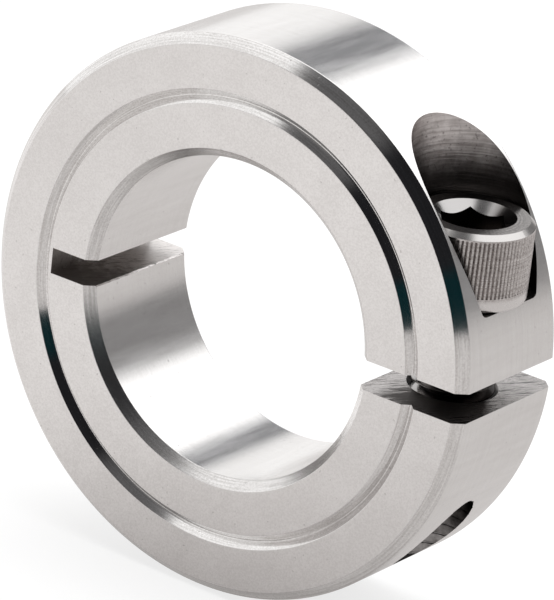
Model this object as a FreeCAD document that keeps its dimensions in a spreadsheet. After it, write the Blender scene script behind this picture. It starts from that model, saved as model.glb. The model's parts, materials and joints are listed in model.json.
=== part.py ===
import FreeCAD, Part
import math
import os
import Sketcher

# One-piece clamping shaft collar with its socket head cap screw.
# Frame: origin at the centre of the bore, +Y along the bore (the grooved face looks along -Y),
# +Z along the clamp screw towards its head, +X towards the slit.

# Driving dimensions, in millimetres.
DRIVING = {
    "outside_diameter": 44.45,
    "bore_diameter": 25.4,
    "width": 12.7,
    "bore_chamfer": 0.75,
    "outer_chamfer": 0.8,
    "groove_inner_radius": 16.9,
    "groove_outer_radius": 18.05,
    "slit_width": 2.38,
    "relief_width": 2.1,
    "relief_drop": 0.35,
    "relief_radius": 16.6,
    "seam_width": 0.02,
    "screw_offset": 17.15,
    "seat_height": 6.4,
    "pocket_diameter": 10.8,
    "clearance_diameter": 6.75,
    "thread_diameter": 6.35,
    "thread_pitch": 0.9071,
    "thread_allowance": 0.13,
    "tapping_diameter": 5.5,
    "tapping_mouth": 7.0,
    "screw_length": 12.7,
    "thread_runout": 1.6,
    "tip_chamfer": 0.55,
    "head_diameter": 9.3,
    "head_height": 6.2,
    "head_chamfer": 0.4,
    "head_round": 0.35,
    "socket_width": 4.76,
    "socket_mouth": 6.4,
    "socket_depth": 3.2,
    "knurl_start": 1.2,
    "knurl_depth": 0.15,
    "knurl_land": 0.09,
}

KNURL_COUNT = 88
KNURL_TOP_GAP = 1.3     # how far the knurling stays below the top, in head chamfers
KNURL_LIFT = 0.05       # how far the knurl's cutting profile stands off the head
SOCKET_CLOCK = 10.5     # degrees from +X to the first corner of the hexagon
TURNS_BELOW_TIP = 2     # how far the tapped thread runs on past the tip of the screw
HALF_THREAD_ANGLE = math.radians(30.0)
THREAD_DEPTH = 0.6134   # depth of the outside thread as a share of its pitch
OVERRUN = 1.0           # how far a cutting profile runs past the surface it cuts


class Size:
    """A length and the spreadsheet expression that it follows."""

    def __init__(self, value, text):
        self.value = value
        self.text = text

    def combine(self, sign, other, value):
        other_text = other.text if isinstance(other, Size) else repr(float(other))
        return Size(value, "(" + self.text + " " + sign + " " + other_text + ")")

    def __add__(self, other):
        return self.combine("+", other, self.value + plain(other))

    def __sub__(self, other):
        return self.combine("-", other, self.value - plain(other))

    def __mul__(self, factor):
        return self.combine("*", factor, self.value * plain(factor))

    def __truediv__(self, factor):
        return self.combine("/", factor, self.value / plain(factor))

    def __neg__(self):
        return self * -1.0


def plain(number):
    """The plain value of a Size or of a number."""
    return number.value if isinstance(number, Size) else float(number)


def make_sheet(doc):
    """Write the driving dimensions into a spreadsheet, one alias to a row."""
    sheet = doc.addObject("Spreadsheet::Sheet", "Dims")
    for row, (name, value) in enumerate(DRIVING.items(), start=1):
        sheet.set("A" + str(row), name.replace("_", " "))
        sheet.set("B" + str(row), str(value))
        sheet.setAlias("B" + str(row), name)
    doc.recompute()
    return sheet


def size(name):
    """One driving dimension as a Size."""
    return Size(DRIVING[name], "Dims." + name)


def make_body(doc, label):
    body = doc.addObject("PartDesign::Body", label)
    body.Label = label
    return body


def origin_feature(body, role):
    """The body's own origin plane or axis with this role."""
    for feature in body.Origin.OriginFeatures:
        if feature.Role == role:
            return feature
    raise ValueError("no origin feature " + role)


def make_sketch(body, name, plane="XY_Plane"):
    sketch = body.newObject("Sketcher::SketchObject", name)
    sketch.AttachmentSupport = [(origin_feature(body, plane), "")]
    sketch.MapMode = "FlatFace"
    return sketch


def place_sketch(sketch, across=None, along_normal=None):
    """Move a sketch across and along the normal of its plane, by bound lengths."""
    if across is not None:
        sketch.setExpression(".AttachmentOffset.Base.x", across.text)
    if along_normal is not None:
        sketch.setExpression(".AttachmentOffset.Base.z", along_normal.text)


def bind(sketch, constraint, length):
    sketch.setExpression("Constraints[" + str(constraint) + "]", length.text)


def draw_polygon(sketch, corners):
    """Draw a closed outline whose every corner is bound to a pair of lengths."""
    points = [FreeCAD.Vector(plain(x), plain(y), 0) for x, y in corners]
    count = len(points)
    for index in range(count):
        sketch.addGeometry(Part.LineSegment(points[index], points[(index + 1) % count]), False)
    for index in range(count):
        sketch.addConstraint(Sketcher.Constraint("Coincident", index, 2, (index + 1) % count, 1))
    for index, corner in enumerate(corners):
        for direction, length in zip(("DistanceX", "DistanceY"), corner):
            constraint = sketch.addConstraint(
                Sketcher.Constraint(direction, -1, 1, index, 1, plain(length)))
            if isinstance(length, Size):
                bind(sketch, constraint, length)


def draw_circle(sketch, centre_x, radius):
    """Draw a circle centred on the sketch's horizontal axis."""
    centre = FreeCAD.Vector(plain(centre_x), 0, 0)
    sketch.addGeometry(Part.Circle(centre, FreeCAD.Vector(0, 0, 1), radius.value), False)
    sketch.addConstraint(Sketcher.Constraint("PointOnObject", 0, 3, -1))
    across = sketch.addConstraint(Sketcher.Constraint("DistanceX", -1, 1, 0, 3, plain(centre_x)))
    if isinstance(centre_x, Size):
        bind(sketch, across, centre_x)
    bind(sketch, sketch.addConstraint(Sketcher.Constraint("Radius", 0, radius.value)), radius)


def revolve(body, kind, name, sketch, angle=360.0, backwards=False):
    """Turn a sketch about its vertical axis, adding (Revolution) or removing (Groove)."""
    feature = body.newObject("PartDesign::" + kind, name)
    feature.Profile = sketch
    feature.ReferenceAxis = (sketch, ["V_Axis"])
    feature.Angle = angle
    feature.Reversed = backwards
    sketch.Visibility = False
    return feature


def cut(body, name, sketch, depth, upwards):
    """Cut a sketch that lies flat in the frame, up or down from its plane."""
    feature = body.newObject("PartDesign::Pocket", name)
    feature.Profile = sketch
    feature.Reversed = upwards
    feature.Length = plain(depth)
    feature.setExpression("Length", depth.text)
    sketch.Visibility = False
    return feature


def cut_helix(body, name, sketch, height):
    """Cut a right-hand helical groove upwards from a profile drawn beside the vertical axis."""
    feature = body.newObject("PartDesign::SubtractiveHelix", name)
    feature.Profile = sketch
    feature.ReferenceAxis = (sketch, ["V_Axis"])
    feature.Mode = "pitch-height-angle"
    feature.Pitch = DRIVING["thread_pitch"]
    feature.Height = height.value
    feature.Angle = 0.0
    feature.LeftHanded = False
    feature.Reversed = False
    feature.setExpression("Pitch", "Dims.thread_pitch")
    feature.setExpression("Height", height.text)
    sketch.Visibility = False
    return feature


# Lengths that several pieces share.
OUTER_RADIUS = size("outside_diameter") / 2
BORE_RADIUS = size("bore_diameter") / 2
HALF_WIDTH = size("width") / 2
HALF_SLIT = size("slit_width") / 2
HALF_RELIEF = size("relief_width") / 2
RELIEF_DROP = size("relief_drop")
HALF_SEAM = size("seam_width") / 2
RELIEF_RADIUS = size("relief_radius")
SCREW_OFFSET = size("screw_offset")
SEAT_HEIGHT = size("seat_height")
THREAD_RADIUS = size("thread_diameter") / 2
PITCH = size("thread_pitch")
REACH = OUTER_RADIUS + OVERRUN
ACROSS = HALF_WIDTH + OVERRUN


def ring_section():
    """Corners of the ring's cross-section, radius by position along the bore."""
    bore_chamfer = size("bore_chamfer")
    outer_chamfer = size("outer_chamfer")
    groove_inner = size("groove_inner_radius")
    groove_outer = size("groove_outer_radius")
    groove_bottom = (groove_inner + groove_outer) / 2
    groove_depth = (groove_outer - groove_inner) / 2
    front = -HALF_WIDTH
    back = HALF_WIDTH
    return [
        (BORE_RADIUS, front + bore_chamfer),
        (BORE_RADIUS + bore_chamfer, front),
        (groove_inner, front),
        (groove_bottom, front + groove_depth),
        (groove_outer, front),
        (OUTER_RADIUS - outer_chamfer, front),
        (OUTER_RADIUS, front + outer_chamfer),
        (OUTER_RADIUS, back - outer_chamfer),
        (OUTER_RADIUS - outer_chamfer, back),
        (BORE_RADIUS + bore_chamfer, back),
        (BORE_RADIUS, back - bore_chamfer),
    ]


def half_ring(doc, label, upper):
    """One half of the ring, with its side of the slit, of the relief slot and of the seam.

    The middle of the relief slot lies a little below the middle of the slit.
    """
    body = make_body(doc, label)
    section = make_sketch(body, label + "_section")
    draw_polygon(section, ring_section())
    revolve(body, "Revolution", label + "_ring", section, 180.0, backwards=upper)

    relief_depth = HALF_RELIEF - RELIEF_DROP if upper else HALF_RELIEF + RELIEF_DROP
    openings = [
        ("slit", Size(0.0, "0 mm"), REACH, HALF_SLIT),
        ("relief", -RELIEF_RADIUS, Size(0.0, "0 mm"), relief_depth),
        ("seam", -REACH, -RELIEF_RADIUS, HALF_SEAM),
    ]
    for name, start, end, depth in openings:
        sketch = make_sketch(body, label + "_" + name + "_outline")
        draw_polygon(sketch, [(start, -ACROSS), (end, -ACROSS), (end, ACROSS), (start, ACROSS)])
        cut(body, label + "_" + name, sketch, depth, upwards=upper)
    return body


def upper_jaw(doc):
    """The half that holds the screw head in a counterbore open through the outside."""
    body = half_ring(doc, "upper_jaw", upper=True)
    hole = make_sketch(body, "clearance_outline")
    draw_circle(hole, SCREW_OFFSET, size("clearance_diameter") / 2)
    cut(body, "clearance_hole", hole, SEAT_HEIGHT + OVERRUN, upwards=True)

    pocket = make_sketch(body, "head_pocket_outline")
    place_sketch(pocket, along_normal=SEAT_HEIGHT)
    draw_circle(pocket, SCREW_OFFSET, size("pocket_diameter") / 2)
    cut(body, "head_pocket", pocket, OUTER_RADIUS, upwards=True)
    return body


def lower_jaw(doc):
    """The half with the tapped hole, which runs out through the outside."""
    body = half_ring(doc, "lower_jaw", upper=False)
    tapping_radius = size("tapping_diameter") / 2
    mouth_radius = size("tapping_mouth") / 2
    hole = make_sketch(body, "tapping_outline")
    draw_circle(hole, SCREW_OFFSET, tapping_radius)
    cut(body, "tapping_hole", hole, OUTER_RADIUS, upwards=False)

    mouth = make_sketch(body, "mouth_outline", "XZ_Plane")
    place_sketch(mouth, across=SCREW_OFFSET)
    draw_polygon(mouth, [
        (0.0, -HALF_SLIT),
        (mouth_radius, -HALF_SLIT),
        (tapping_radius, -HALF_SLIT - (mouth_radius - tapping_radius)),
        (0.0, -HALF_SLIT - (mouth_radius - tapping_radius)),
    ])
    revolve(body, "Groove", "tapping_mouth", mouth)

    # The groove stands where the screw's ridges run, and clears them by the allowance.
    root_radius = THREAD_RADIUS + size("thread_allowance")
    half_root = PITCH / 16
    half_mouth = half_root + (root_radius - tapping_radius) * math.tan(HALF_THREAD_ANGLE)
    start = SEAT_HEIGHT - size("screw_length") - PITCH * (TURNS_BELOW_TIP - 0.5)
    inner = tapping_radius - OVERRUN / 2
    profile = make_sketch(body, "tapped_thread_profile", "XZ_Plane")
    place_sketch(profile, across=SCREW_OFFSET)
    draw_polygon(profile, [
        (inner, start - half_mouth),
        (tapping_radius, start - half_mouth),
        (root_radius, start - half_root),
        (root_radius, start + half_root),
        (tapping_radius, start + half_mouth),
        (inner, start + half_mouth),
    ])
    cut_helix(body, "tapped_thread", profile, -start)
    return body


def round_foot(body, blank):
    """Round the lower edge of the head."""
    body.Document.recompute()
    head_radius = size("head_diameter").value / 2
    foot = FreeCAD.Vector(head_radius, 0.0, 0.0)
    edge = next(index for index, edge in enumerate(blank.Shape.Edges, start=1)
                if edge.distToShape(Part.Vertex(foot))[0] < 1e-6 and hasattr(edge.Curve, "Radius"))
    fillet = body.newObject("PartDesign::Fillet", "head_foot")
    fillet.Base = (blank, ["Edge" + str(edge)])
    fillet.Radius = DRIVING["head_round"]
    fillet.setExpression("Radius", "Dims.head_round")


def socket(body):
    """The hexagon socket with its countersunk mouth and drilled bottom."""
    head_height = size("head_height")
    depth = size("socket_depth")
    half_width = size("socket_width") / 2
    mouth_radius = size("socket_mouth") / 2
    drill_point = half_width * math.tan(math.radians(30.0))
    pilot = make_sketch(body, "socket_pilot_outline", "XZ_Plane")
    draw_polygon(pilot, [
        (0.0, head_height),
        (mouth_radius, head_height),
        (half_width, head_height - (mouth_radius - half_width)),
        (half_width, head_height - depth),
        (0.0, head_height - depth - drill_point),
    ])
    revolve(body, "Groove", "socket_pilot", pilot)

    hexagon = make_sketch(body, "socket_hexagon")
    place_sketch(hexagon, along_normal=head_height)
    corner_radius = half_width / math.cos(math.radians(30.0))
    angles = [math.radians(SOCKET_CLOCK + 60.0 * corner) for corner in range(6)]
    draw_polygon(hexagon, [
        (corner_radius * math.cos(angle), corner_radius * math.sin(angle)) for angle in angles])
    cut(body, "socket_flats", hexagon, depth, upwards=False)


def knurl(body):
    """Straight knurling round the head, from above its plain foot to just below its chamfer."""
    head_radius = size("head_diameter") / 2
    half_groove = head_radius * (math.pi / KNURL_COUNT) - size("knurl_land") / 2
    length = size("head_height") - size("head_chamfer") * KNURL_TOP_GAP - size("knurl_start")
    outline = make_sketch(body, "knurl_outline")
    place_sketch(outline, along_normal=size("knurl_start"))
    draw_polygon(outline, [
        (head_radius + KNURL_LIFT, -half_groove),
        (head_radius + KNURL_LIFT, half_groove),
        (head_radius - size("knurl_depth"), 0.0),
    ])
    groove = cut(body, "knurl_groove", outline, length, upwards=True)
    pattern = body.newObject("PartDesign::PolarPattern", "knurl")
    pattern.Originals = [groove]
    pattern.Axis = (outline, ["N_Axis"])
    pattern.Angle = 360.0
    pattern.Occurrences = KNURL_COUNT
    body.Tip = pattern


def cap_screw(doc):
    """Socket head cap screw in its own frame: +Z along the axis, origin under the head."""
    body = make_body(doc, "cap_screw")
    length = size("screw_length")
    tip_chamfer = size("tip_chamfer")
    head_radius = size("head_diameter") / 2
    head_height = size("head_height")
    head_chamfer = size("head_chamfer")
    section = make_sketch(body, "screw_section", "XZ_Plane")
    draw_polygon(section, [
        (0.0, -length),
        (THREAD_RADIUS - tip_chamfer, -length),
        (THREAD_RADIUS, tip_chamfer - length),
        (THREAD_RADIUS, 0.0),
        (head_radius, 0.0),
        (head_radius, head_height - head_chamfer),
        (head_radius - head_chamfer, head_height),
        (0.0, head_height),
    ])
    blank = revolve(body, "Revolution", "screw_blank", section)
    round_foot(body, blank)
    socket(body)
    knurl(body)

    # One groove profile of the outside thread, standing one pitch below the tip.
    depth = PITCH * THREAD_DEPTH
    half_mouth = PITCH * 7 / 16
    half_root = half_mouth - depth * math.tan(HALF_THREAD_ANGLE)
    outer = THREAD_RADIUS + OVERRUN / 2
    start = -length - PITCH
    profile = make_sketch(body, "thread_profile", "XZ_Plane")
    draw_polygon(profile, [
        (outer, start - half_mouth),
        (outer, start + half_mouth),
        (THREAD_RADIUS, start + half_mouth),
        (THREAD_RADIUS - depth, start + half_root),
        (THREAD_RADIUS - depth, start - half_root),
        (THREAD_RADIUS, start - half_mouth),
    ])
    cut_helix(body, "thread", profile, length + PITCH - size("thread_runout"))
    body.setExpression(".Placement.Base.x", SCREW_OFFSET.text)
    body.setExpression(".Placement.Base.z", SEAT_HEIGHT.text)
    return body


def check(doc, bodies):
    for item in doc.Objects:
        for state in ("Invalid", "Error"):
            if state in item.State:
                raise RuntimeError(item.Label + " is " + state)
    for body in bodies:
        shape = body.Shape
        if shape.isNull() or not shape.isValid() or len(shape.Solids) != 1:
            raise RuntimeError(body.Label + " is not one valid solid")


def write(bodies):
    os.makedirs("parts", exist_ok=True)
    for body in bodies:
        body.Shape.exportStep(os.path.join("parts", body.Label + ".step"))
        box = body.Shape.BoundBox
        print(body.Label, round(body.Shape.Volume, 2), "mm3",
              [round(value, 3) for value in (box.XMin, box.XMax, box.YMin, box.YMax, box.ZMin, box.ZMax)])


document = FreeCAD.newDocument("shaft_collar")
make_sheet(document)
pieces = [upper_jaw(document), lower_jaw(document), cap_screw(document)]
document.recompute()
check(document, pieces)
write(pieces)
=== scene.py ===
import json
import math
import random

import bmesh
import bpy
from mathutils import Matrix, Vector


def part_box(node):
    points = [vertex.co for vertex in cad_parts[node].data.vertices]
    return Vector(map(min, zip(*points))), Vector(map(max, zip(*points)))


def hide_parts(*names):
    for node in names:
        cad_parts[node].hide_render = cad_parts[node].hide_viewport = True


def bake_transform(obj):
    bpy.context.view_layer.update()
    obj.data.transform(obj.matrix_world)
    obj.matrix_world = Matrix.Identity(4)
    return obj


# Looks of a one-piece clamping shaft collar. Shapes are drawn in millimetres and
# scaled to metres at the end, in the frame of the CAD model: origin at the centre
# of the bore, +Y along the bore, +Z along the clamp screw, +X towards the slit.

MM = 0.001

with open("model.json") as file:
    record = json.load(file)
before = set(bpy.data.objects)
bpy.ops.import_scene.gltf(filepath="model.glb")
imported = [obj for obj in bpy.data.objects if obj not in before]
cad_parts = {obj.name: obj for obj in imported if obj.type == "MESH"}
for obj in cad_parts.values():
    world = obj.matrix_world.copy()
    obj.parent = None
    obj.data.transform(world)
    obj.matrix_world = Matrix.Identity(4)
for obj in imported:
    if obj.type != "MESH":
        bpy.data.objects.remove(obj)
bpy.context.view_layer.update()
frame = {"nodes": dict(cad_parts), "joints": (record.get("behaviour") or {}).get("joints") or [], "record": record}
RECORD = frame["record"]


def mount(name):
    return next(entry for entry in RECORD["mounts"] if entry["name"] == name)


def joint(name):
    return next(entry for entry in frame["joints"] if entry["name"] == name)


# Lengths read from the frame, in millimetres.
UPPER_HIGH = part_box("upper_jaw")[1]
SCREW_LOW, SCREW_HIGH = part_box("cap_screw")
OUTER_RADIUS = UPPER_HIGH.z / MM
HALF_WIDTH = UPPER_HIGH.y / MM
BORE_RADIUS = mount("shaft_bore")["dims"]["r_mm"]
BORE_CHAMFER = HALF_WIDTH - mount("shaft_bore")["dims"]["length_mm"] / 2
SCREW_X = joint("screw_turn")["pos_m"][0] / MM
SEAT_Z = joint("screw_turn")["pos_m"][2] / MM
RELIEF_RADIUS = -joint("jaw_flex")["pos_m"][0] / MM
HEAD_TOP_Z = SCREW_HIGH.z / MM
TIP_Z = SCREW_LOW.z / MM

# Sizes that the frame does not name, the same as in the CAD model.
OUTER_CHAMFER = 0.8
GROOVE_INNER = 16.9
GROOVE_OUTER = 18.05
GROOVE_BOTTOM = (GROOVE_INNER + GROOVE_OUTER) / 2
GROOVE_DEPTH = (GROOVE_OUTER - GROOVE_INNER) / 2
HALF_SLIT = 1.19
RELIEF_TOP = 0.7
RELIEF_FLOOR = -1.4
POCKET_RADIUS = 5.4
CLEARANCE_RADIUS = 3.375
THREAD_PITCH = 0.9071
THREAD_FLANK = math.radians(30.0)
THREAD_ROOT = 3.305
TAPPING_RADIUS = 2.75
MOUTH_RADIUS = 3.5
SOCKET_MOUTH = 3.2
HEAD_CHAMFER = 0.4

# Details that only the looks have, in millimetres.
EDGE_BREAK = 0.06       # radius on every edge of the turned outline
SEAT_FILLET = 0.25      # corner between the screw's seat and the pocket's wall
TAIL_ROOT = 2.8         # root radius of the tapped thread once it has run out
CHIP_SIZE = 0.11        # chips where the floor of the relief slot meets the bore

RING_STEPS = 720
POCKET_STEPS = 160
MOUTH_STEPS = 96
THREAD_STEPS = 72
THREAD_ROWS_PER_PITCH = 22
BEYOND = 3.0            # how far a cutter stands out of the ring, in millimetres
SHARP_ANGLE = math.radians(20.0)


# ---------------------------------------------------------------- mesh helpers

def new_object(name, mesh):
    thing = bpy.data.objects.new(name, mesh)
    bpy.context.scene.collection.objects.link(thing)
    return thing


def mesh_from(name, verts, faces, material=None):
    mesh = bpy.data.meshes.new(name)
    mesh.from_pydata(verts, [], faces)
    mesh.update()
    if material is not None:
        mesh.materials.append(material)
    shape = bmesh.new()
    shape.from_mesh(mesh)
    bmesh.ops.recalc_face_normals(shape, faces=shape.faces)
    shape.to_mesh(mesh)
    shape.free()
    return mesh


def rounded_outline(points, radius, steps=3):
    """Replace each corner of a closed outline by a short arc.

    A point on the straight at each end of an arc keeps the rest of the straight flat when shaded.
    """
    margin = radius / 2
    result = []
    count = len(points)
    for index in range(count):
        before = Vector(points[index - 1])
        corner = Vector(points[index])
        after = Vector(points[(index + 1) % count])
        towards_before = (before - corner).normalized()
        towards_after = (after - corner).normalized()
        half = towards_before.angle(towards_after) / 2
        reach = radius / math.tan(half)
        centre = corner + (towards_before + towards_after).normalized() * radius / math.sin(half)
        start = corner + towards_before * reach - centre
        sweep = math.pi - 2 * half
        turn = 1.0 if towards_before.cross(towards_after) < 0 else -1.0
        result.append(tuple(corner + towards_before * (reach + margin)))
        for step in range(steps + 1):
            angle = turn * sweep * step / steps
            arm = Matrix.Rotation(angle, 2) @ start
            result.append(tuple(centre + arm))
        result.append(tuple(corner + towards_after * (reach + margin)))
    return result


def lathe_y(outline, steps, material):
    """A closed (radius, y) outline turned into a ring about the Y axis."""
    verts = []
    faces = []
    size = len(outline)
    for step in range(steps):
        angle = 2 * math.pi * step / steps
        cos, sin = math.cos(angle), math.sin(angle)
        verts += [(radius * cos, y, radius * sin) for radius, y in outline]
    for step in range(steps):
        here = step * size
        there = (step + 1) % steps * size
        for index in range(size):
            other = (index + 1) % size
            faces.append((here + index, here + other, there + other, there + index))
    return mesh_from("ring", verts, faces, material)


def lathe_z(outline, steps, material, x_offset):
    """An open (radius, z) outline, on the axis at both ends, turned about a vertical axis."""
    verts = [(x_offset, 0.0, outline[0][1]), (x_offset, 0.0, outline[-1][1])]
    inner = outline[1:-1]
    size = len(inner)
    for step in range(steps):
        angle = 2 * math.pi * (step + 0.5) / steps
        verts += [(x_offset + radius * math.cos(angle), radius * math.sin(angle), z)
                  for radius, z in inner]
    faces = []
    for step in range(steps):
        here = 2 + step * size
        there = 2 + (step + 1) % steps * size
        faces.append((0, here, there))
        faces.append((1, there + size - 1, here + size - 1))
        for index in range(size - 1):
            faces.append((here + index, here + index + 1, there + index + 1, there + index))
    return mesh_from("turned_cutter", verts, faces, material)


def box_cutter(low, high, material):
    verts = [(x, y, z) for x in (low[0], high[0]) for y in (low[1], high[1])
             for z in (low[2], high[2])]
    faces = [(0, 1, 3, 2), (4, 6, 7, 5), (0, 4, 5, 1), (2, 3, 7, 6), (0, 2, 6, 4), (1, 5, 7, 3)]
    return mesh_from("box_cutter", verts, faces, material)


def thread_radius(phase, z):
    """Radius of the tapped thread, which runs out shallow below the tip of the screw."""
    away = abs(phase - round(phase)) * THREAD_PITCH
    half_root = THREAD_PITCH / 16
    fall = max(0.0, away - half_root) / math.tan(THREAD_FLANK)
    run_out = min(1.0, max(0.0, (TIP_Z - THREAD_PITCH / 2 - z) / THREAD_PITCH))
    root = THREAD_ROOT + (TAIL_ROOT - THREAD_ROOT) * run_out
    return max(TAPPING_RADIUS, root - fall)


def tapped_cutter(material):
    """The space of the tapped hole with its helical thread, down from the slit.

    It ends just short of the outside on the side of the bore, and leaves a small shelf there.
    """
    top = 0.6 - HALF_SLIT
    bottom = -16.5
    groove_z = TIP_Z - THREAD_PITCH / 2
    rows = int((top - bottom) / THREAD_PITCH * THREAD_ROWS_PER_PITCH)
    verts = []
    for row in range(rows + 1):
        z = top + (bottom - top) * row / rows
        for step in range(THREAD_STEPS):
            angle = 2 * math.pi * step / THREAD_STEPS
            phase = (z - groove_z) / THREAD_PITCH - angle / (2 * math.pi)
            radius = thread_radius(phase, z)
            verts.append((SCREW_X + radius * math.cos(angle), radius * math.sin(angle), z))
    first_row = tuple(range(THREAD_STEPS))
    last_row = tuple(rows * THREAD_STEPS + step for step in first_row)
    faces = [first_row, last_row[::-1]]
    for row in range(rows):
        here = row * THREAD_STEPS
        below = here + THREAD_STEPS
        for step in range(THREAD_STEPS):
            other = (step + 1) % THREAD_STEPS
            faces.append((here + step, here + other, below + other, below + step))
    return mesh_from("tapped_cutter", verts, faces, material)


def chipped_edge_cutter(x, z, material):
    """A jagged diamond bar along Y that breaks a sawn edge."""
    chance = random.Random(7)
    steps = 60
    overrun = 1.0
    start = -HALF_WIDTH - overrun
    length = 2 * (HALF_WIDTH + overrun)
    verts = []
    for step in range(steps + 1):
        y = start + length * step / steps
        for across, up in ((-1.0, 0.0), (0.0, -1.0), (1.0, 0.0), (0.0, 1.0)):
            size = CHIP_SIZE * chance.uniform(0.55, 1.25)
            verts.append((x + across * size, y, z + up * size))
    faces = [(0, 1, 2, 3), tuple(4 * steps + index for index in (3, 2, 1, 0))]
    for step in range(steps):
        here = 4 * step
        for index in range(4):
            other = (index + 1) % 4
            faces.append((here + index, here + other, here + 4 + other, here + 4 + index))
    return mesh_from("edge_cutter", verts, faces, material)


def subtract(target, cutter_mesh):
    """Cut one mesh out of another, keeping the cutter's material on the new faces."""
    cutter = new_object(cutter_mesh.name, cutter_mesh)
    modifier = target.modifiers.new("cut", "BOOLEAN")
    modifier.operation = "DIFFERENCE"
    modifier.solver = "EXACT"
    modifier.material_mode = "TRANSFER"
    modifier.object = cutter
    depsgraph = bpy.context.evaluated_depsgraph_get()
    result = bpy.data.meshes.new_from_object(target.evaluated_get(depsgraph))
    target.modifiers.remove(modifier)
    target.data = result
    bpy.data.objects.remove(cutter)


# ------------------------------------------------------------ material helpers

class Nodes:
    """Short calls for building a node tree."""

    def __init__(self, tree):
        self.tree = tree
        tree.nodes.clear()

    def add(self, kind, **settings):
        node = self.tree.nodes.new(kind)
        for name, value in settings.items():
            setattr(node, name, value)
        return node

    def link(self, source, target):
        if isinstance(source, bpy.types.NodeSocket):
            self.tree.links.new(source, target)
        else:
            target.default_value = source

    def math(self, operation, first, second=0.0, third=0.0, clamp=False):
        node = self.add("ShaderNodeMath", operation=operation, use_clamp=clamp)
        for socket, value in zip(node.inputs, (first, second, third)):
            self.link(value, socket)
        return node.outputs[0]

    def vector(self, operation, first, second=(0.0, 0.0, 0.0)):
        node = self.add("ShaderNodeVectorMath", operation=operation)
        self.link(first, node.inputs[0])
        self.link(second, node.inputs[1])
        return node.outputs[1] if operation in ("DOT_PRODUCT", "LENGTH") else node.outputs[0]

    def combine(self, x, y, z):
        node = self.add("ShaderNodeCombineXYZ")
        for socket, value in zip(node.inputs, (x, y, z)):
            self.link(value, socket)
        return node.outputs[0]

    def separate(self, vector):
        node = self.add("ShaderNodeSeparateXYZ")
        self.link(vector, node.inputs[0])
        return node.outputs

    def noise(self, vector, scale, detail=2.0, roughness=0.5):
        node = self.add("ShaderNodeTexNoise")
        self.link(vector, node.inputs["Vector"])
        node.inputs["Scale"].default_value = scale
        node.inputs["Detail"].default_value = detail
        node.inputs["Roughness"].default_value = roughness
        return node.outputs["Fac"]

    def remap(self, value, from_low, from_high, to_low, to_high, smooth=False):
        node = self.add("ShaderNodeMapRange", clamp=True)
        if smooth:
            node.interpolation_type = "SMOOTHSTEP"
        self.link(value, node.inputs["Value"])
        node.inputs["From Min"].default_value = from_low
        node.inputs["From Max"].default_value = from_high
        node.inputs["To Min"].default_value = to_low
        node.inputs["To Max"].default_value = to_high
        return node.outputs["Result"]

    def mix_number(self, factor, first, second):
        node = self.add("ShaderNodeMix", data_type="FLOAT")
        self.link(factor, node.inputs[0])
        self.link(first, node.inputs[2])
        self.link(second, node.inputs[3])
        return node.outputs[0]

    def mix_colour(self, factor, first, second):
        node = self.add("ShaderNodeMix", data_type="RGBA")
        self.link(factor, node.inputs[0])
        self.link(first, node.inputs[6])
        self.link(second, node.inputs[7])
        return node.outputs[2]

    def bump(self, height, strength, distance):
        node = self.add("ShaderNodeBump")
        node.inputs["Strength"].default_value = strength
        node.inputs["Distance"].default_value = distance
        self.link(height, node.inputs["Height"])
        return node.outputs[0]


def position_mm(nodes):
    """The point being shaded, in millimetres, for a piece that moves without bending."""
    coordinates = nodes.add("ShaderNodeTexCoord")
    return nodes.vector("MULTIPLY", coordinates.outputs["Object"], (1000.0, 1000.0, 1000.0))


def rest_mm(nodes):
    """The same for the ring: each point's place at rest, stored on the mesh."""
    return nodes.add("ShaderNodeAttribute", attribute_name="rest_mm").outputs["Vector"]


def steel_material(name):
    """An empty metallic material and its node helper."""
    material = bpy.data.materials.new(name)
    material.use_nodes = True
    nodes = Nodes(material.node_tree)
    output = nodes.add("ShaderNodeOutputMaterial")
    surface = nodes.add("ShaderNodeBsdfPrincipled")
    surface.inputs["Metallic"].default_value = 1.0
    nodes.link(surface.outputs[0], output.inputs["Surface"])
    return material, nodes, surface


def round_the_bore(nodes, point):
    """Distance from the bore's axis and angle about it."""
    x, _, z = nodes.separate(point)
    return nodes.vector("LENGTH", nodes.combine(x, 0.0, z)), nodes.math("ARCTAN2", z, x)


def near(nodes, value, target, full, faded):
    """1 where a value is close to a target, falling to 0."""
    away = nodes.math("ABSOLUTE", nodes.math("SUBTRACT", value, target))
    return nodes.remap(away, full, faded, 1.0, 0.0)


def scratches(nodes, point, lean, seed):
    """Short straight scratches: the peaks of a noise that is stretched along one direction."""
    x, y, z = nodes.separate(point)
    along = nodes.math("MULTIPLY_ADD", z, lean, x)
    across = nodes.math("MULTIPLY_ADD", x, -lean, z)
    stretched = nodes.combine(nodes.math("MULTIPLY", along, 0.55), nodes.math("MULTIPLY", across, 9.0),
                              nodes.math("MULTIPLY_ADD", y, 0.8, seed))
    return nodes.remap(nodes.noise(stretched, 1.0, 1.0), 0.76, 0.84, 0.0, 1.0)


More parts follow.
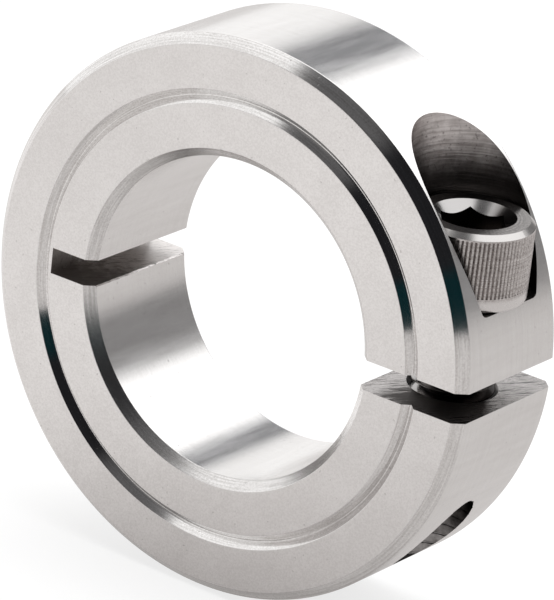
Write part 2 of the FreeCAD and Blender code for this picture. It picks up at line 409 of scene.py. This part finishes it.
def turned_steel():
    """Turned ring: grained end faces, smoother outside and bore, bright chamfers and groove."""
    material, nodes, surface = steel_material("turned_steel")
    point = rest_mm(nodes)
    y = nodes.separate(point)[1]
    radius, angle = round_the_bore(nodes, point)
    end_face = near(nodes, nodes.math("ABSOLUTE", y), HALF_WIDTH, 0.01, 0.03)
    outside = near(nodes, radius, OUTER_RADIUS, 0.01, 0.03)
    bore = near(nodes, radius, BORE_RADIUS, 0.01, 0.03)
    walls = nodes.math("ADD", outside, bore, clamp=True)

    around = nodes.combine(nodes.math("MULTIPLY", nodes.math("COSINE", angle), radius),
                           nodes.math("MULTIPLY", nodes.math("SINE", angle), radius),
                           nodes.math("MULTIPLY", y, 0.12))
    streaks = nodes.noise(around, 1.3, 4.0, 0.6)
    rings = nodes.noise(nodes.combine(radius, y, nodes.math("MULTIPLY", angle, 0.5)), 7.0, 3.0, 0.6)
    fine_rings = nodes.noise(nodes.combine(radius, y, nodes.math("MULTIPLY", angle, 1.5)), 30.0, 2.0)
    grain = nodes.noise(point, 7.0, 4.0, 0.7)
    cloud = nodes.noise(point, 0.35, 3.0, 0.5)
    pits = nodes.remap(nodes.noise(point, 3.2, 1.0), 0.74, 0.8, 0.0, 1.0)
    marks = nodes.math("MAXIMUM", scratches(nodes, point, 0.35, 0.0), scratches(nodes, point, -2.2, 31.0))
    marks = nodes.math("MULTIPLY", marks, end_face)

    tone = nodes.math("ADD", nodes.math("MULTIPLY", grain, 0.8), nodes.math("MULTIPLY", cloud, 0.2))
    face_colour = nodes.mix_colour(nodes.remap(tone, 0.4, 0.6, 0.0, 1.0),
                                   (0.675, 0.657, 0.648, 1.0), (0.785, 0.768, 0.76, 1.0))
    wall_tone = nodes.math("ADD", nodes.math("MULTIPLY", streaks, 0.4), nodes.math("MULTIPLY", rings, 0.3))
    wall_tone = nodes.math("ADD", wall_tone, nodes.math("MULTIPLY", grain, 0.3))
    wall_colour = nodes.mix_colour(nodes.remap(wall_tone, 0.35, 0.65, 0.0, 1.0),
                                   (0.70, 0.685, 0.675, 1.0), (0.80, 0.79, 0.785, 1.0))
    cut_tone = nodes.math("ADD", nodes.math("MULTIPLY", rings, 0.5), nodes.math("MULTIPLY", grain, 0.5))
    cut_colour = nodes.mix_colour(nodes.remap(cut_tone, 0.4, 0.6, 0.0, 1.0),
                                  (0.6, 0.585, 0.575, 1.0), (0.82, 0.81, 0.805, 1.0))
    colour = nodes.mix_colour(end_face, cut_colour, face_colour)
    colour = nodes.mix_colour(walls, colour, wall_colour)
    colour = nodes.mix_colour(nodes.math("MULTIPLY", pits, 0.4), colour, (0.3, 0.28, 0.27, 1.0))
    colour = nodes.mix_colour(nodes.math("MULTIPLY", marks, 0.3), colour, (0.4, 0.38, 0.37, 1.0))
    nodes.link(colour, surface.inputs["Base Color"])

    face_rough = nodes.remap(tone, 0.35, 0.65, 0.28, 0.35)
    wall_rough = nodes.remap(streaks, 0.35, 0.65, 0.185, 0.225)
    chamfer_edge = BORE_RADIUS + BORE_CHAMFER
    inward = nodes.remap(radius, chamfer_edge, chamfer_edge + 0.2, 0.25, 0.1)
    rough = nodes.mix_number(walls, nodes.mix_number(end_face, inward, face_rough), wall_rough)
    nodes.link(nodes.math("ADD", rough, nodes.math("MULTIPLY", marks, 0.1)), surface.inputs["Roughness"])
    surface.inputs["Anisotropic"].default_value = 0.5
    tangent = nodes.add("ShaderNodeTangent", direction_type="RADIAL", axis="Y")
    nodes.link(tangent.outputs[0], surface.inputs["Tangent"])

    turning = nodes.math("ADD", nodes.math("MULTIPLY", rings, 0.4), nodes.math("MULTIPLY", fine_rings, 0.6))
    turning = nodes.math("MULTIPLY", turning, 0.6)
    grained = nodes.math("ADD", nodes.math("MULTIPLY", grain, 0.8), nodes.math("MULTIPLY", turning, 0.3))
    height = nodes.mix_number(end_face, turning, grained)
    hollow = nodes.math("ADD", nodes.math("MULTIPLY", marks, 0.6), nodes.math("MULTIPLY", pits, 0.8))
    nodes.link(nodes.bump(nodes.math("SUBTRACT", height, hollow), 0.3, 0.00001), surface.inputs["Normal"])
    return material


def sawn_steel():
    """Faces left by a slitting saw: slanting marks, with painted shade in the slit and on the upper faces, oil and
    painted shade in front of the tapped hole's mouth, and a darker, mottled front half of the relief slot.
    """
    material, nodes, surface = steel_material("sawn_steel")
    point = rest_mm(nodes)
    x, y, z = nodes.separate(point)
    in_slit = nodes.remap(x, -1.0, 1.0, 0.0, 1.0)       # 0 in the relief slot, 1 in the slit

    waver = nodes.math("MULTIPLY", nodes.noise(point, 0.5, 2.0), 0.5)
    across = nodes.math("SUBTRACT", nodes.math("MULTIPLY", x, 0.85), nodes.math("MULTIPLY", y, 0.53))
    across = nodes.math("ADD", across, waver)
    along = nodes.math("ADD", nodes.math("MULTIPLY", x, 0.53), nodes.math("MULTIPLY", y, 0.85))
    marks = nodes.noise(nodes.combine(nodes.math("MULTIPLY", across, 6.5),
                                      nodes.math("MULTIPLY", along, 0.3),
                                      nodes.math("MULTIPLY", z, 2.0)), 1.0, 4.0, 0.75)
    fine = nodes.noise(nodes.combine(nodes.math("MULTIPLY", across, 20.0),
                                     nodes.math("MULTIPLY", along, 1.5),
                                     nodes.math("MULTIPLY", z, 6.0)), 1.0, 3.0, 0.65)
    height = nodes.math("ADD", nodes.math("MULTIPLY", marks, 0.6), nodes.math("MULTIPLY", fine, 0.4))
    # The slit's copies of the sawn colours are much darker than the relief slot's: painted shade of the narrow
    # slit.
    bright = nodes.mix_colour(in_slit, (0.8, 0.77, 0.755, 1.0), (0.52, 0.495, 0.485, 1.0))
    dull = nodes.mix_colour(in_slit, (0.3, 0.28, 0.27, 1.0), (0.035, 0.03, 0.028, 1.0))
    colour = nodes.mix_colour(nodes.remap(height, 0.41, 0.475, 0.0, 1.0), dull, bright)

    # Darker, mottled front half of the relief slot.
    blotch = nodes.noise(point, 1.2, 4.0, 0.65)
    forward = nodes.math("ADD", y, nodes.remap(blotch, 0.3, 0.7, -3.0, 3.0))
    front_dark_mottle = nodes.math("MULTIPLY", nodes.remap(forward, -4.5, 1.5, 0.72, 0.0, smooth=True),
                       nodes.math("SUBTRACT", 1.0, in_slit))
    colour = nodes.mix_colour(front_dark_mottle, colour, (0.19, 0.165, 0.15, 1.0))

    # Oil and painted shade in front of the tapped hole's mouth, where the lower face mirrors the dark underside of
    # the upper jaw, drawn out along the marks.
    oil_and_shade_x, oil_and_shade_y = SCREW_X + 1.05, -4.2
    away = nodes.vector("LENGTH", nodes.combine(nodes.math("SUBTRACT", x, oil_and_shade_x),
                                                nodes.math("SUBTRACT", y, oil_and_shade_y), 0.0))
    away = nodes.math("ADD", away, nodes.remap(marks, 0.35, 0.65, -2.2, 2.2))
    oil_and_shade = nodes.math("MULTIPLY", nodes.remap(away, 3.2, 4.0, 0.9, 0.0), in_slit)
    colour = nodes.mix_colour(oil_and_shade, colour, (0.14, 0.125, 0.12, 1.0))

    # Painted shade on the upper faces, which face down, darkest in the slit.
    upper_face = nodes.remap(z, 0.3, 0.65, 0.0, 1.0)
    unlit = nodes.mix_colour(in_slit, (0.3, 0.27, 0.255, 1.0), (0.045, 0.04, 0.038, 1.0))
    nodes.link(nodes.mix_colour(upper_face, colour, unlit), surface.inputs["Base Color"])
    sawn_rough = nodes.remap(x, -1.0, 1.0, 0.42, 0.2)
    nodes.link(nodes.math("MAXIMUM", sawn_rough, nodes.math("MULTIPLY", oil_and_shade, 0.55)),
               surface.inputs["Roughness"])
    nodes.link(nodes.bump(height, 0.6, 0.00004), surface.inputs["Normal"])
    return material


def milled_steel():
    """The screw pocket and its hole: fine rings about the screw's axis, with painted shade low down in the pocket.
    """
    material, nodes, surface = steel_material("milled_steel")
    point = rest_mm(nodes)
    x, y, z = nodes.separate(point)
    away = nodes.vector("LENGTH", nodes.combine(nodes.math("SUBTRACT", x, SCREW_X), y, 0.0))
    rings = nodes.noise(nodes.combine(away, z, nodes.math("MULTIPLY", y, 0.05)), 5.5, 4.0, 0.65)
    blotch = nodes.noise(point, 1.1, 4.0, 0.65)
    speckle = nodes.remap(nodes.noise(point, 3.0, 2.0, 0.6), 0.6, 0.7, 0.0, 1.0)
    shade = nodes.remap(nodes.math("ADD", nodes.math("MULTIPLY", rings, 0.6),
                                   nodes.math("MULTIPLY", blotch, 0.4)), 0.38, 0.6, 0.0, 1.0)
    colour = nodes.mix_colour(shade, (0.42, 0.385, 0.375, 1.0), (0.72, 0.685, 0.675, 1.0))
    colour = nodes.mix_colour(nodes.math("MULTIPLY", speckle, 0.6), colour, (0.15, 0.13, 0.125, 1.0))
    # Painted shade, growing deeper down the pocket.
    depth = nodes.math("ADD", z, nodes.math("MULTIPLY", blotch, 1.2))
    depth_shade = nodes.remap(depth, HEAD_TOP_Z + 1.4, HEAD_TOP_Z + 5.2, 0.93, 0.0, smooth=True)
    nodes.link(nodes.mix_colour(depth_shade, colour, (0.05, 0.044, 0.042, 1.0)), surface.inputs["Base Color"])
    surface.inputs["Roughness"].default_value = 0.34
    nodes.link(nodes.bump(rings, 0.7, 0.00003), surface.inputs["Normal"])
    return material


def tapped_steel():
    """Thread flanks, mottled, with painted shade that is darkest high up the hole and lighter towards the outside
    of the ring.
    """
    material, nodes, surface = steel_material("tapped_steel")
    point = rest_mm(nodes)
    stain = nodes.noise(point, 1.4, 4.0, 0.6)
    shaded_deep = nodes.mix_colour(nodes.remap(stain, 0.35, 0.65, 0.0, 1.0),
                             (0.05, 0.045, 0.043, 1.0), (0.15, 0.14, 0.135, 1.0))
    lighter_near_exit = nodes.mix_colour(nodes.remap(stain, 0.35, 0.65, 0.0, 1.0),
                             (0.15, 0.143, 0.14, 1.0), (0.36, 0.348, 0.344, 1.0))
    # Painted shade: dark high up the hole, lighter towards its lower end near the outside of the ring.
    outwards = nodes.remap(nodes.separate(point)[2], -15.0, -10.5, 1.0, 0.0)
    nodes.link(nodes.mix_colour(outwards, shaded_deep, lighter_near_exit), surface.inputs["Base Color"])
    surface.inputs["Roughness"].default_value = 0.3
    return material


def screw_steel():
    """The cap screw: turned top, knurled side, rolled thread, with painted shade in the socket, on the left of the
    head and below the seat, and painted light on the foot of the head.
    """
    material, nodes, surface = steel_material("screw_steel")
    point = position_mm(nodes)
    x, y, z = nodes.separate(point)
    away = nodes.vector("LENGTH", nodes.combine(nodes.math("SUBTRACT", x, SCREW_X), y, 0.0))
    rings = nodes.noise(nodes.combine(away, z, 0.0), 9.0, 3.0)
    grain = nodes.noise(point, 5.0, 4.0, 0.7)
    specks = nodes.remap(nodes.noise(point, 3.4, 2.0, 0.6), 0.61, 0.7, 0.0, 1.0)
    tone = nodes.math("ADD", nodes.math("MULTIPLY", rings, 0.4), nodes.math("MULTIPLY", grain, 0.6))
    fleck = nodes.remap(tone, 0.4, 0.6, 0.0, 1.0)
    side = nodes.mix_colour(fleck, (0.36, 0.332, 0.322, 1.0), (0.66, 0.633, 0.622, 1.0))
    side = nodes.mix_colour(nodes.math("MULTIPLY", specks, 0.5), side, (0.17, 0.15, 0.145, 1.0))
    # Painted shade on the left of the head, where the pocket's wall shadows it.
    pocket_shadow = nodes.remap(nodes.math("SUBTRACT", x, SCREW_X), -3.4, -1.4, 0.75, 0.0, smooth=True)
    side = nodes.mix_colour(pocket_shadow, side, (0.08, 0.07, 0.066, 1.0))
    # Painted shade on the screw below the seat, inside the ring.
    above = nodes.remap(z, SEAT_Z - 0.3, SEAT_Z - 0.1, 0.0, 1.0)
    colour = nodes.mix_colour(above, (0.2, 0.185, 0.18, 1.0), side)
    # Painted light on the smooth foot of the head, which would otherwise mirror the dark seat.
    foot = nodes.remap(z, SEAT_Z + 0.8, SEAT_Z + 1.15, 1.0, 0.0)
    colour = nodes.mix_colour(nodes.math("MULTIPLY", foot, above), colour, (0.72, 0.7, 0.69, 1.0))
    chamfer_foot = HEAD_TOP_Z - HEAD_CHAMFER
    rim = nodes.remap(z, chamfer_foot - 0.02, chamfer_foot, 0.0, 1.0)
    colour = nodes.mix_colour(rim, colour, (0.5, 0.485, 0.475, 1.0))
    flat = nodes.remap(z, HEAD_TOP_Z - 0.02, HEAD_TOP_Z - 0.005, 0.0, 1.0)
    flat_colour = nodes.mix_colour(fleck, (0.15, 0.14, 0.135, 1.0), (0.32, 0.303, 0.296, 1.0))
    colour = nodes.mix_colour(flat, colour, flat_colour)
    mouth = nodes.remap(away, SOCKET_MOUTH - 0.02, SOCKET_MOUTH + 0.02, 1.0, 0.0)
    cone = nodes.math("ADD", HEAD_TOP_Z - SOCKET_MOUTH, away)
    below_cone = nodes.remap(nodes.math("SUBTRACT", cone, z), 0.03, 0.06, 0.0, 1.0)
    shaded = nodes.remap(nodes.math("SUBTRACT", x, SCREW_X), -0.6, 0.9, 0.0, 1.0, smooth=True)
    cone_colour = nodes.mix_colour(shaded, (0.4, 0.39, 0.386, 1.0), (0.14, 0.13, 0.125, 1.0))
    colour = nodes.mix_colour(mouth, colour, cone_colour)
    # Painted shade: the inside of the socket near-black.
    inside = nodes.math("MULTIPLY", mouth, nodes.math("MULTIPLY", above, below_cone))
    colour = nodes.mix_colour(inside, colour, (0.09, 0.08, 0.075, 1.0))
    nodes.link(colour, surface.inputs["Base Color"])
    machined = nodes.math("MAXIMUM", mouth, rim)
    nodes.link(nodes.mix_number(machined, nodes.remap(grain, 0.3, 0.7, 0.24, 0.38), 0.2),
               surface.inputs["Roughness"])
    relief = nodes.math("MULTIPLY", tone, nodes.remap(machined, 0.0, 1.0, 1.0, 0.15))
    nodes.link(nodes.bump(relief, 0.4, 0.00002), surface.inputs["Normal"])
    return material


# ------------------------------------------------------------------- the ring

def ring_outline():
    front, back = -HALF_WIDTH, HALF_WIDTH
    corners = [
        (BORE_RADIUS, front + BORE_CHAMFER),
        (BORE_RADIUS + BORE_CHAMFER, front),
        (GROOVE_INNER, front),
        (GROOVE_BOTTOM, front + GROOVE_DEPTH),
        (GROOVE_OUTER, front),
        (OUTER_RADIUS - OUTER_CHAMFER, front),
        (OUTER_RADIUS, front + OUTER_CHAMFER),
        (OUTER_RADIUS, back - OUTER_CHAMFER),
        (OUTER_RADIUS - OUTER_CHAMFER, back),
        (BORE_RADIUS + BORE_CHAMFER, back),
        (BORE_RADIUS, back - BORE_CHAMFER),
    ]
    return rounded_outline(corners, EDGE_BREAK)


def pocket_cutter(material):
    """The counterbored pocket, its seat and the clearance hole down into the slit."""
    top = OUTER_RADIUS + BEYOND
    slope = 0.08
    outline = [
        (0.0, 0.0),
        (CLEARANCE_RADIUS, 0.0),
        (CLEARANCE_RADIUS, SEAT_Z),
        (POCKET_RADIUS - SEAT_FILLET, SEAT_Z),
        (POCKET_RADIUS - slope, SEAT_Z + slope),
        (POCKET_RADIUS, SEAT_Z + SEAT_FILLET),
        (POCKET_RADIUS, top),
        (0.0, top),
    ]
    return lathe_z(outline, POCKET_STEPS, material, SCREW_X)


def mouth_cutter(material):
    """The countersunk mouth of the tapped hole."""
    foot = -HALF_SLIT - (MOUTH_RADIUS - TAPPING_RADIUS)
    outline = [(0.0, 0.0), (MOUTH_RADIUS, 0.0), (MOUTH_RADIUS, -HALF_SLIT), (TAPPING_RADIUS, foot),
               (0.0, foot)]
    return lathe_z(outline, MOUTH_STEPS, material, SCREW_X)


def build_ring():
    """One skin for both jaws."""
    turned, sawn, milled, tapped = turned_steel(), sawn_steel(), milled_steel(), tapped_steel()
    ring = new_object("ring", lathe_y(ring_outline(), RING_STEPS, turned))
    side = HALF_WIDTH + BEYOND
    inside_bore = 0.5
    subtract(ring, box_cutter((inside_bore, -side, -HALF_SLIT), (OUTER_RADIUS + BEYOND, side, HALF_SLIT),
                              sawn))
    subtract(ring, box_cutter((-RELIEF_RADIUS, -side, RELIEF_FLOOR), (-inside_bore, side, RELIEF_TOP),
                              sawn))
    edge_x = -math.sqrt(BORE_RADIUS ** 2 - RELIEF_FLOOR ** 2)
    subtract(ring, chipped_edge_cutter(edge_x, RELIEF_FLOOR, sawn))
    subtract(ring, pocket_cutter(milled))
    subtract(ring, mouth_cutter(tapped))
    subtract(ring, tapped_cutter(tapped))
    rest = ring.data.attributes.new("rest_mm", "FLOAT_VECTOR", "POINT")
    rest.data.foreach_set("vector", [value for vertex in ring.data.vertices for value in vertex.co])
    ring.data.transform(Matrix.Scale(MM, 4))
    ring.data.polygons.foreach_set("use_smooth", [True] * len(ring.data.polygons))
    ring.data.set_sharp_from_angle(angle=SHARP_ANGLE)
    ring.data.update()
    ring.name = "ring"
    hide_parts("upper_jaw", "lower_jaw")
    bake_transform(ring)


def dress_screw():
    screw = frame["nodes"]["cap_screw"]
    steel = screw_steel()
    for slot in screw.material_slots:
        slot.material = steel


# -------------------------------------------------------------------- the set

VIEW_AZIMUTH = math.radians(34.06)
VIEW_ELEVATION = math.radians(21.48)
VIEW_ROLL = math.radians(6.71)
VIEW_DISTANCE = 0.4095
VIEW_SHIFT = (0.000389, 0.000098)
VIEW_LENS = 320.13
FLOOR_LIGHT = 3.0


def view_axes():
    """The camera's right, up and backwards directions."""
    azimuth, elevation, roll = VIEW_AZIMUTH, VIEW_ELEVATION, VIEW_ROLL
    back = Vector((math.sin(azimuth) * math.cos(elevation),
                   -math.cos(azimuth) * math.cos(elevation), math.sin(elevation)))
    right = Vector((math.cos(azimuth), math.sin(azimuth), 0.0))
    up = back.cross(right)
    return (right * math.cos(roll) + up * math.sin(roll),
            up * math.cos(roll) - right * math.sin(roll), back)


def build_camera():
    right, up, back = view_axes()
    data = bpy.data.cameras.new("camera")
    data.lens = VIEW_LENS
    data.sensor_width = 36.0
    data.clip_start = 0.01
    camera = new_object("camera", data)
    place = back * VIEW_DISTANCE + right * VIEW_SHIFT[0] + up * VIEW_SHIFT[1]
    axes = Matrix((right, up, back)).transposed().to_4x4()
    camera.matrix_world = Matrix.Translation(place) @ axes
    bpy.context.scene.camera = camera


def build_floor():
    half = 3.0
    level = -OUTER_RADIUS * MM - 0.00002
    mesh = mesh_from("floor", [(-half, -half, level), (half, -half, level),
                               (half, half, level), (-half, half, level)], [(0, 1, 2, 3)])
    floor = new_object("floor", mesh)
    material = bpy.data.materials.new("pale_floor")
    material.use_nodes = True
    nodes = Nodes(material.node_tree)
    output = nodes.add("ShaderNodeOutputMaterial")
    matt = nodes.add("ShaderNodeBsdfDiffuse")
    glow = nodes.add("ShaderNodeEmission")
    paths = nodes.add("ShaderNodeLightPath")
    x, y, _ = nodes.separate(nodes.add("ShaderNodeNewGeometry").outputs["Position"])
    # As the metal mirrors it, the floor is painted darker towards the right and partly glows: a painted reflection
    # of how the floor is lit.
    right_side = nodes.remap(nodes.math("ADD", x, y), -0.075, 0.0, 0.0, 1.0, smooth=True)
    mirrored = nodes.mix_colour(right_side, (0.84, 0.822, 0.81, 1.0), (0.62, 0.598, 0.588, 1.0))
    colour = nodes.mix_colour(paths.outputs["Is Glossy Ray"], (0.95, 0.95, 0.948, 1.0), mirrored)
    nodes.link(colour, matt.inputs["Color"])
    nodes.link(nodes.mix_colour(paths.outputs["Is Camera Ray"], colour, (1.0, 1.0, 1.0, 1.0)),
               glow.inputs["Color"])
    softened = nodes.add("ShaderNodeMixShader")
    seen = nodes.math("ADD", nodes.math("MULTIPLY", paths.outputs["Is Camera Ray"], 0.75),
                      nodes.math("MULTIPLY", paths.outputs["Is Glossy Ray"], 0.6))
    nodes.link(seen, softened.inputs[0])
    nodes.link(matt.outputs[0], softened.inputs[1])
    nodes.link(glow.outputs[0], softened.inputs[2])
    nodes.link(softened.outputs[0], output.inputs["Surface"])
    mesh.materials.append(material)


def direction(azimuth, elevation):
    """Unit vector, with azimuth from -Y towards +X, both in degrees."""
    azimuth, elevation = math.radians(azimuth), math.radians(elevation)
    return (math.sin(azimuth) * math.cos(elevation),
            -math.cos(azimuth) * math.cos(elevation), math.sin(elevation))


STUDIO_BASE = (0.27, 0.265, 0.265, 1.0)

# Soft areas of the studio, later ones over earlier ones: centre (azimuth, elevation), radius of the
# full colour and radius where it has faded, all in degrees, then the colour.
STUDIO_AREAS = [
    ((38.0, 30.0), 27.0, 38.0, (0.016, 0.016, 0.018, 1.0)),
    ((-95.0, 15.0), 57.0, 65.0, (1.15, 1.143, 1.136, 1.0)),
    ((175.0, 70.0), 40.0, 49.0, (1.7, 1.7, 1.7, 1.0)),
    ((2.0, 62.0), 9.0, 21.0, (0.13, 0.128, 0.13, 1.0)),
    ((52.0, 7.0), 8.0, 12.0, (0.004, 0.022, 0.026, 1.0)),
    ((-155.5, 29.8), 6.3, 9.5, (0.15, 0.155, 0.17, 1.0)),
]


def build_light():
    """A studio of soft areas for the metal to mirror, and a lamp that the metal does not mirror."""
    world = bpy.data.worlds.new("studio")
    bpy.context.scene.world = world
    world.use_nodes = True
    nodes = Nodes(world.node_tree)
    output = nodes.add("ShaderNodeOutputWorld")
    background = nodes.add("ShaderNodeBackground")
    nodes.link(background.outputs[0], output.inputs["Surface"])
    looking = nodes.add("ShaderNodeTexCoord").outputs["Generated"]
    colour = STUDIO_BASE
    for centre, full, faded, tint in STUDIO_AREAS:
        facing = nodes.vector("DOT_PRODUCT", looking, direction(*centre))
        share = nodes.remap(facing, math.cos(math.radians(faded)), math.cos(math.radians(full)),
                            0.0, 1.0, smooth=True)
        colour = nodes.mix_colour(share, colour, tint)
    camera_ray = nodes.add("ShaderNodeLightPath").outputs["Is Camera Ray"]
    nodes.link(nodes.mix_colour(camera_ray, colour, (1.0, 1.0, 1.0, 1.0)), background.inputs["Color"])
    softbox = bpy.data.lights.new("overhead_softbox", "AREA")
    softbox.shape = "DISK"
    softbox.size = 0.7
    softbox.energy = FLOOR_LIGHT
    lamp = new_object("overhead_softbox", softbox)
    lamp.location = (-0.1, 0.05, 0.7)
    lamp.rotation_euler = (-lamp.location).to_track_quat("-Z", "Y").to_euler()
    lamp.visible_glossy = False


bpy.context.scene.view_settings.view_transform = "Standard"
build_ring()
dress_screw()
build_camera()
build_floor()
build_light()
